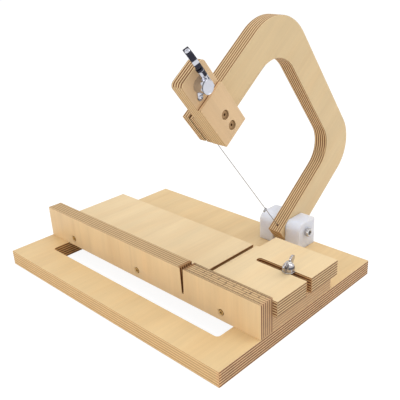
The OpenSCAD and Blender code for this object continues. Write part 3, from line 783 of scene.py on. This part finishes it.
class SOAPCUTTER_OT_arm(bpy.types.Operator):
    """Bow-shaped arm and the head board that carries the tuner"""
    bl_idname = "soap_cutter.arm"
    bl_label = "Arm"

    # boxes in millimetres in the arm's frame: the step's wall takes the face's colour, with painted shade
    # along its foot, and the saw slot is darkened throughout by painted shade
    STEP = ((5, -18, 240.6), (40, 15, 241.4), None)
    STEP_FOOT = ((5, -18, 240.6), (23.8, 15, 241.4), SHADED_FOOT)
    SAW_SLOT = ((-1.15, -18.2, 189.6), (1.15, 20, 223.4))

    # axis of the face grain, tint, contrast of the edges along it
    BOARDS = {
        "arm": ("Y", rgb(242, 239, 234), 0.85),
        "head_board": ("Z", rgb(245, 234, 230), 0.35),
    }

    def execute(self, context):
        eased_width = context.scene.soap_cutter.wood.eased
        for node, (grain, tint, contrast) in self.BOARDS.items():
            low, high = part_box(node)
            place, thick = (low[0] - HINGE.x) / MM, (high[0] - low[0]) / MM
            wood = Plywood(node + "_ply", "X", place, thick, grain, tint, in_arm=True)
            finish = wood.finish((1.0, contrast), (self.STEP, self.STEP_FOOT), (self.SAW_SLOT,))
            eased_node(node, finish, "arm", eased_width)
        return {"FINISHED"}


class SOAPCUTTER_OT_blocks(bpy.types.Operator):
    """Milky hinge blocks"""
    bl_idname = "soap_cutter.blocks"
    bl_label = "Hinge blocks"

    def execute(self, context):
        width = context.scene.soap_cutter.plastic.eased
        finish = milky_plastic("milky_plastic")
        for node in ("hinge_block_left", "hinge_block_right"):
            eased_node(node, finish, "bed", width, segments=4)
        return {"FINISHED"}


class SOAPCUTTER_OT_ruler(bpy.types.Operator):
    """Ruler burnt into the fence's top, in millimetres at the rear and sixteenths of an inch at the front"""
    bl_idname = "soap_cutter.ruler"
    bl_label = "Ruler"

    ZERO = 2.3 * MM  # from the wire to the wire gap's right wall
    EDGE_ROOM = 0.5 * MM
    END_ROOM = 0.6 * MM
    MARK_HEIGHT = 0.08 * MM
    REAR_FIGURES = 8.1 * MM  # from the fence's rear edge to the figures' middle
    FRONT_FIGURES = 7.6 * MM  # from its front edge
    FONT_SIZE = 1.45  # in figure heights

    def execute(self, context):
        low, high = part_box("fence")
        zero = HINGE.x + self.ZERO
        top = high[2]
        reach = high[0] - zero - self.END_ROOM
        burnt = ink("burnt_marks")
        rear = (zero, high[1] - self.EDGE_ROOM, top)
        front = (zero, low[1] + self.EDGE_ROOM, top)
        meshes = [
            self.marks("ruler_mm", rear, 1 * MM, reach, (10, 5), (5.6, 4.2, 2.7), -1, burnt),
            self.marks("ruler_inch", front, INCH / 16, reach, (16, 4), (5.6, 3.9, 2.4), 1, burnt),
        ]
        centimetres = (9, 10 * MM, high[1] - self.REAR_FIGURES)
        inches = (3, INCH, low[1] + self.FRONT_FIGURES)
        for count, pitch, row in (centimetres, inches):
            for number in range(1, count + 1):
                meshes.append(self.figure(str(number), (zero + number * pitch, row, top)))
        form = bmesh.new()
        for mesh in meshes:
            form.from_mesh(mesh)
        add_piece("ruler", as_mesh(form, "ruler"), burnt, "bed")
        return {"FINISHED"}

    def marks(self, name, start, pitch, reach, every, lengths, side, material):
        """A row of marks along X.

        every has how many steps lie between long marks and between middle ones, and lengths has the long,
        middle and short marks' lengths in millimetres. side is 1 where the marks reach from the row towards
        the rear, and -1 where they reach towards the front.
        """
        growth = Growth(name, {
            "Pitch": ("NodeSocketFloat", pitch),
            "Count": ("NodeSocketInt", int(reach / pitch) + 1),
            "Long every": ("NodeSocketFloat", float(every[0])),
            "Middle every": ("NodeSocketFloat", float(every[1])),
            "Long": ("NodeSocketFloat", lengths[0] * MM),
            "Middle": ("NodeSocketFloat", lengths[1] * MM),
            "Short": ("NodeSocketFloat", lengths[2] * MM),
            "Width": ("NodeSocketFloat", bpy.context.scene.soap_cutter.ruler.mark_width),
            "Side": ("NodeSocketFloat", side * 0.5),
        })
        given, maths = growth.given, growth.maths
        step = growth.joined(x=given("Pitch"))
        row = {"Count": given("Count"), "Start Location": start, "Offset": step}
        line = growth.node("GeometryNodeMeshLine", None, row)
        index = growth.node("GeometryNodeInputIndex")
        is_long = maths("LESS_THAN", maths("MODULO", index, given("Long every")), 0.5)
        is_middle = maths("LESS_THAN", maths("MODULO", index, given("Middle every")), 0.5)
        more = maths("SUBTRACT", given("Middle"), given("Short"))
        length = maths("MULTIPLY_ADD", is_middle, more, given("Short"))
        length = maths("MULTIPLY_ADD", is_long, maths("SUBTRACT", given("Long"), length), length)
        shift = growth.joined(y=maths("MULTIPLY", length, given("Side")))
        moved = growth.node("GeometryNodeSetPosition", None, {"Geometry": line, "Offset": shift})
        mark = growth.node("GeometryNodeMeshCube", None, {"Size": (1, 1, 1)})
        size = growth.joined(x=given("Width"), y=length, z=self.MARK_HEIGHT)
        copies = {"Points": moved, "Instance": mark, "Scale": size}
        marks = growth.node("GeometryNodeInstanceOnPoints", None, copies)
        return growth.grown(as_object(name, points_mesh(name, [(0, 0, 0)])), marks, material)

    def figure(self, words, place):
        """A figure that lies on the fence's top, read from the front."""
        curve = bpy.data.curves.new("figure", "FONT")
        curve.body = words
        curve.size = bpy.context.scene.soap_cutter.ruler.figure * self.FONT_SIZE
        curve.align_x = "CENTER"
        curve.align_y = "CENTER"
        curve.extrude = self.MARK_HEIGHT / 2
        curve.resolution_u = 3
        mesh = flattened(as_object("figure", curve), "figure")
        mesh.transform(Matrix.Translation(place))
        return mesh


class SOAPCUTTER_OT_screws(bpy.types.Operator):
    """Wood screws through the fence and up into the platforms and hinge blocks"""
    bl_idname = "soap_cutter.screws"
    bl_label = "Wood screws"

    def execute(self, context):
        zinc = steel("yellow_zinc", 0.42, tuple(context.scene.soap_cutter.metal.zinc), painted_shade_on_slopes=True)
        for node, axis in (("fence_screws", 1), ("bed_screws", 2), ("block_screws", 2)):
            low, high = solids(node)[0]
            along = Vector((0, 0, 0))
            along[axis] = 1
            pattern = wood_screw(node, (high[axis] - low[axis]) / MM, along)
            mesh = repeated(node + "_set", pattern, faces_of(node, axis, False), zinc)
            add_piece(node + "_set", mesh, zinc, "bed", (node,))
        return {"FINISHED"}


class SOAPCUTTER_OT_bolts(bpy.types.Operator):
    """Hinge bolt, head bolts, their nuts and washers, and the wire's anchor pin"""
    bl_idname = "soap_cutter.bolts"
    bl_label = "Bolts"

    # head radius, head height, shank radius and socket width in millimetres
    HINGE_BOLT = (5.0, 4.5, 3.0, 5.0)
    HEAD_BOLT = (4.25, 5.0, 2.5, 2.3)

    def execute(self, context):
        bright = steel("bolt_steel", 0.16)
        # brown tint of the sunk head bolts: painted reflection of the wood and painted shade in their holes
        brown = steel("sunk_bolt_steel", 0.40, rgb(172, 138, 100))
        bolts = (("hinge_bolt", "bed", bright, self.HINGE_BOLT), ("head_bolts", "arm", brown, self.HEAD_BOLT))
        for node, body, finish, sizes in bolts:
            low, high = solids(node)[0]
            pattern = cap_bolt(node, (high[0] - low[0]) / MM, *sizes, Vector((-1, 0, 0)))
            mesh = repeated(node + "_set", pattern, faces_of(node, 0, True), finish)
            add_piece(node + "_set", mesh, finish, body, (node,))
        bodies = {"hinge_nut": "bed", "head_washers": "arm", "head_nuts": "arm", "anchor_pin": "arm"}
        for node, body in bodies.items():
            eased_node(node, bright, body, 0.2 * MM)
        return {"FINISHED"}


class SOAPCUTTER_OT_clamp(bpy.types.Operator):
    """Clamp bolt, washer and wing nut"""
    bl_idname = "soap_cutter.clamp"
    bl_label = "Clamp"

    WING_HEIGHT = 0.68  # share of the solid's height that the wings keep

    def execute(self, context):
        bright = steel("clamp_steel", 0.12)
        eased_node("clamp_bolt", bright, "bed", 0.3 * MM)
        eased_node("clamp_washer", bright, "clamp_nut", 0.25 * MM)
        # painted dark reflection on the wing nut, where its normal leans a little upwards
        polished = chrome(
            "wing_nut_steel", rgb(196, 191, 192), 0.05,
            dark=lambda along, facing: span(facing[2], 0.16, 0.46, 0.08) * 0.85)
        nut = self.wing_nut(polished)
        add_piece("wing_nut_polished", nut, polished, "clamp_nut", ("wing_nut",))
        return {"FINISHED"}

    def wing_nut(self, material):
        """The CAD's wings, made lower and united with a domed hub, with all edges rounded."""
        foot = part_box("wing_nut")[0][2]
        axis = joint_place("wing_nut_spin")
        wings = as_mesh(joined_copy("wing_nut"), "wings")
        to_foot = Matrix.Translation((0, 0, -foot))
        wings.transform(to_foot.inverted() @ Matrix.Diagonal((1, 1, self.WING_HEIGHT, 1)) @ to_foot)
        hub = as_object("wing_hub", wing_hub((axis.x, axis.y, foot)))
        growth = Growth("wing_nut_union", {"Hub": ("NodeSocketObject", hub)})
        way = {"operation": "UNION", "solver": "MANIFOLD"}
        united = growth.node("GeometryNodeMeshBoolean", way, {"Mesh 2": growth.form_of("Hub")})
        growth.tree.links.new(growth.given("Geometry"), united.node.inputs["Mesh 2"])
        nut = growth.grown(as_object("wing_nut_union", wings), united, material)
        bpy.data.objects.remove(hub)
        return eased(nut, 0.45 * MM, 3, 46)


class SOAPCUTTER_OT_wire(bpy.types.Operator):
    """Cutting wire with its winding, and the barrel crimped on it"""
    bl_idname = "soap_cutter.wire"
    bl_label = "Wire"

    def execute(self, context):
        drawn = steel("drawn_wire", 0.3, rgb(176, 176, 180))
        eased_node("cutting_wire", drawn, "arm")
        eased_node("wire_barrel", drawn, "arm", 0.25 * MM)
        return {"FINISHED"}


class SOAPCUTTER_OT_tuner(bpy.types.Operator):
    """String tuner"""
    bl_idname = "soap_cutter.tuner"
    bl_label = "Tuner"

    def execute(self, context):
        bright = chrome("tuner_chrome")
        # painted dark reflections: housing sleeve and lower end, shaft and button but for a band each, cover
        # rim
        housing = chrome("housing_chrome", dark=self.sleeve_side)
        shaft = chrome("shaft_chrome", dark=lambda along, facing: 1 - span(along, 13, 13.9))
        button = chrome("button_chrome", dark=lambda along, facing: 1 - span(along, 26.5, 30.5))
        rim = chrome("cover_chrome", dark=lambda along, facing: 1 - abs(facing[0]).rises(0.35, 0.75))
        # body, rounding of the edges in millimetres, segments of the rounding, finish
        parts = {
            "tuner_housing": ("arm", 0.3, 3, housing),
            "post_bushing": ("arm", 0.3, 2, bright),
            "tuner_screw": ("arm", 0.2, 2, bright),
            "string_post": ("post", 0.2, 2, bright),
            "post_gear": ("post", 0, 1, bright),
            "worm_shaft": ("worm", 0.08, 2, shaft),
            "tuner_button": ("worm", 0.6, 4, button),
            "button_screw": ("worm", 0.2, 2, bright),
        }
        for node, (body, width, segments, finish) in parts.items():
            eased_node(node, finish, body, width * MM, segments)
        low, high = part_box("tuner_cover")
        start = (low[0], (low[1] + high[1]) / 2, (low[2] + high[2]) / 2)
        cover = cover_disc((high[0] - low[0]) / MM, (high[1] - low[1]) / 2 / MM, start)
        add_piece("tuner_cover_disc", cover, rim, "arm", ("tuner_cover",))
        return {"FINISHED"}

    def sleeve_side(self, along, facing):
        """Painted dark reflection round the upper sleeve but for its front side, and less so at the
        housing's lower end.
        """
        across = facing[1] * WORM_AXIS.z - facing[2] * WORM_AXIS.y
        upper_sleeve = along.rises(7.4, 8.2) * across.rises(-0.62, -0.42)
        lower_end = 1 - along.rises(-7.4, -6.8)
        return upper_sleeve + lower_end * 0.75


class SOAPCUTTER_OT_stage(bpy.types.Operator):
    """Camera, soft lamps, sky and a pale floor"""
    bl_idname = "soap_cutter.stage"
    bl_label = "Stage"

    # place, width in metres, power in watts
    LAMPS = {
        "top": ((0.2, 0.2, 1.5), 0.9, 5.6),
        "rear": ((0.8, 0.7, 1.1), 0.9, 3.3),
        "front": ((0, -1.2, 0.35), 0.9, 3.4),
    }
    LAMPS_AIM = Vector((0, 0, 0.08))
    FLOOR_RADIUS = 6.0
    FLOOR_DROP = 0.3 * MM
    FLOOR_GREY = (0.92, 0.92, 0.92)
    FLOOR_GLOW = 1.17
    GLOW_SHARE = 0.78

    def execute(self, context):
        scene = context.scene
        stage = scene.soap_cutter.stage
        scene.view_settings.view_transform = "Standard"
        self.set_camera(scene, stage)
        self.set_sky(scene, stage)
        self.set_floor()
        for name, (place, size, power) in self.LAMPS.items():
            self.set_lamp(name, place, size, power)
        return {"FINISHED"}

    def set_camera(self, scene, stage):
        """The photograph's camera."""
        camera = bpy.data.cameras.new("camera")
        camera.sensor_width = 36
        camera.lens = stage.lens
        camera.shift_x, camera.shift_y = stage.shift
        camera.clip_start = 0.01
        scene.camera = as_object("camera", camera)
        tilt = Euler((math.pi / 2 - stage.elevation, 0, stage.azimuth)).to_matrix()
        turn = tilt @ Matrix.Rotation(stage.roll, 3, "Z")
        scene.camera.matrix_world = Matrix.Translation(Vector(stage.eye)) @ turn.to_4x4()

    def sees_background(self, shader):
        """1 for rays from the camera or from a shiny or clear surface."""
        rays = shader.node("ShaderNodeLightPath")
        direct = shader.maths("MAXIMUM", rays["Is Camera Ray"], rays["Is Glossy Ray"])
        return shader.maths("MAXIMUM", direct, rays["Is Transmission Ray"])

    def set_sky(self, scene, stage):
        """A sky that looks white and lights the object with its ambient strength."""
        shader = Shader(bpy.data.worlds.new("sky"))
        limits = {"Value": self.sees_background(shader), "To Min": stage.ambient, "To Max": 1.0}
        strength = shader.node("ShaderNodeMapRange", None, limits)["Result"]
        sky = shader.node("ShaderNodeBackground", None, {"Color": (1, 1, 1), "Strength": strength})[0]
        shader.node("ShaderNodeOutputWorld", None, {"Surface": sky})
        scene.world = shader.owner

    def set_floor(self):
        """A pale floor that keeps a soft shadow."""
        shader = Shader(bpy.data.materials.new("floor"))
        matt = shader.node("ShaderNodeBsdfDiffuse", None, {"Color": self.FLOOR_GREY})[0]
        glow = {"Color": (1, 1, 1), "Strength": self.FLOOR_GLOW}
        white = shader.node("ShaderNodeEmission", None, glow)[0]
        share = self.sees_background(shader) * self.GLOW_SHARE
        surface = shader.node("ShaderNodeMixShader", None, {0: share, 1: matt, 2: white})[0]
        shader.node("ShaderNodeOutputMaterial", None, {"Surface": surface})
        form = bmesh.new()
        bmesh.ops.create_circle(form, cap_ends=True, radius=self.FLOOR_RADIUS, segments=96)
        bmesh.ops.translate(form, verts=form.verts, vec=(0, 0, -self.FLOOR_DROP))
        mesh = as_mesh(form, "floor")
        mesh.materials.append(shader.owner)
        as_object("floor", mesh)

    def set_lamp(self, name, place, size, power):
        """A round area lamp that points at the object."""
        lamp = bpy.data.lights.new(name, "AREA")
        lamp.shape = "DISK"
        lamp.size = size
        lamp.energy = power
        holder = as_object(name, lamp)
        holder.location = place
        holder.rotation_euler = (self.LAMPS_AIM - Vector(place)).to_track_quat("-Z", "Y").to_euler()


class SOAPCUTTER_PT_panel(bpy.types.Panel):
    """The soap cutter's pieces and stage, in the 3D view's sidebar"""
    bl_idname = "SOAPCUTTER_PT_panel"
    bl_label = "Soap Cutter"
    bl_space_type = "VIEW_3D"
    bl_region_type = "UI"
    bl_category = "Soap Cutter"

    def draw(self, context):
        settings = context.scene.soap_cutter
        for group in (settings.wood, settings.metal, settings.plastic, settings.ruler, settings.stage):
            box = self.layout.box()
            for name in group.__annotations__:
                box.prop(group, name)
        for operator in OPERATORS:
            self.layout.operator(operator.bl_idname)


OPERATORS = (
    SOAPCUTTER_OT_stage,
    SOAPCUTTER_OT_boards,
    SOAPCUTTER_OT_arm,
    SOAPCUTTER_OT_blocks,
    SOAPCUTTER_OT_ruler,
    SOAPCUTTER_OT_screws,
    SOAPCUTTER_OT_bolts,
    SOAPCUTTER_OT_clamp,
    SOAPCUTTER_OT_wire,
    SOAPCUTTER_OT_tuner,
)
GROUPS = (WoodSettings, MetalSettings, PlasticSettings, RulerSettings, StageSettings, SoapCutterSettings)


def register():
    for group in GROUPS:
        bpy.utils.register_class(group)
    bpy.types.Scene.soap_cutter = PointerProperty(type=SoapCutterSettings)
    for operator in OPERATORS:
        bpy.utils.register_class(operator)
    bpy.utils.register_class(SOAPCUTTER_PT_panel)


def unregister():
    bpy.utils.unregister_class(SOAPCUTTER_PT_panel)
    for operator in reversed(OPERATORS):
        bpy.utils.unregister_class(operator)
    del bpy.types.Scene.soap_cutter
    for group in reversed(GROUPS):
        bpy.utils.unregister_class(group)


def main():
    register()
    for operator in OPERATORS:
        getattr(bpy.ops.soap_cutter, operator.bl_idname.split(".")[1])()


if __name__ == "__main__":
    main()
